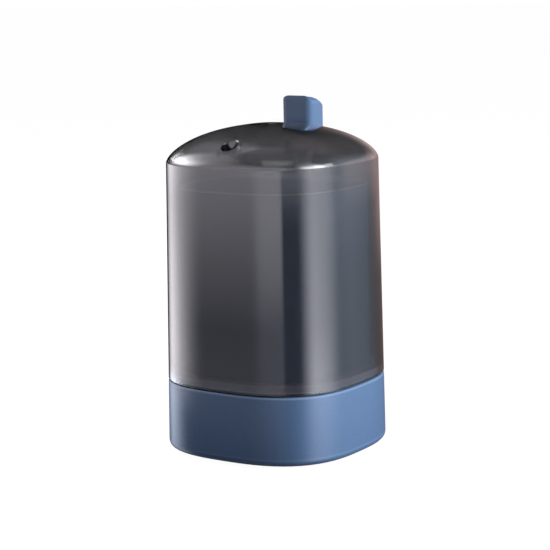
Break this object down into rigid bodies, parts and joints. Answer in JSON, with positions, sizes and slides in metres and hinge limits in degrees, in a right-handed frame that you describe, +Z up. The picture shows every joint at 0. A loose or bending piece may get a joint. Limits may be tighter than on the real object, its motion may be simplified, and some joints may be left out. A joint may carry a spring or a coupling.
{
  "type": "toothpick holder",
  "caption": "Press-button toothpick holder: smoky lift-off dome cover over a standing toothpick bin on a blue base; a rocker turns the button's press into a pusher's rise.",
  "frame": {"origin": "middle of the plane that the four feet rest on", "axes": "+Z up, -Y is the front with the exit hole, +X is the right-hand side seen from the front"},
  "size_m": [0.0606, 0.0606, 0.1045],
  "materials": {
    "smoky_clear": "glossy smoke-grey translucent plastic",
    "blue_plastic": "satin slate-blue plastic",
    "slate_plastic": "satin slate-grey plastic",
    "dark_plastic": "fine-grained dark plastic",
    "white_acetal": "natural white acetal",
    "steel": "bright zinc-plated steel",
    "foot_rubber": "matt black rubber"
  },
  "bodies": {
    "base": {"base_shell": "blue_plastic", "bottom_plate": "dark_plastic", "foot_front_left": "foot_rubber", "foot_front_right": "foot_rubber", "foot_rear_left": "foot_rubber", "foot_rear_right": "foot_rubber", "base_screws": "steel", "bin": "slate_plastic", "bin_screws": "steel", "shaft_cap": "slate_plastic", "cap_screws": "steel", "pivot_pin": "steel", "return_spring": "steel"},
    "plunger": {"push_rod": "white_acetal", "button": "blue_plastic", "spring_clip": "steel", "rod_link_pin": "steel"},
    "lever": {"rocker_lever": "white_acetal"},
    "pusher": {"pusher": "white_acetal", "pusher_link_pin": "steel"},
    "cover": {"cover": "smoky_clear"}
  },
  "joints": [
    {"name": "button_press", "type": "slide", "parent": "base", "child": "plunger", "axis": [0, 0, -1], "range_m": [0, 0.0065], "stiffness_N_per_m": 150, "springref_m": -0.004, "deforming": ["return_spring"]},
    {"name": "lever_rock", "type": "hinge", "parent": "base", "child": "lever", "pos_m": [0, 0.00272, 0.01022], "axis": [-1, 0, 0], "range_deg": [0, 24.82]},
    {"name": "pusher_rise", "type": "slide", "parent": "base", "child": "pusher", "axis": [0, 0, 1], "range_m": [0, 0.01105]},
    {"name": "cover_lift", "type": "slide", "parent": "base", "child": "cover", "axis": [0, 0, 1], "range_m": [0, 0.09]}
  ],
  "couplings": [
    {"joint": "lever_rock", "follows": "button_press", "rad_per_m": 66.6},
    {"joint": "pusher_rise", "follows": "button_press", "ratio": 1.7}
  ]
}
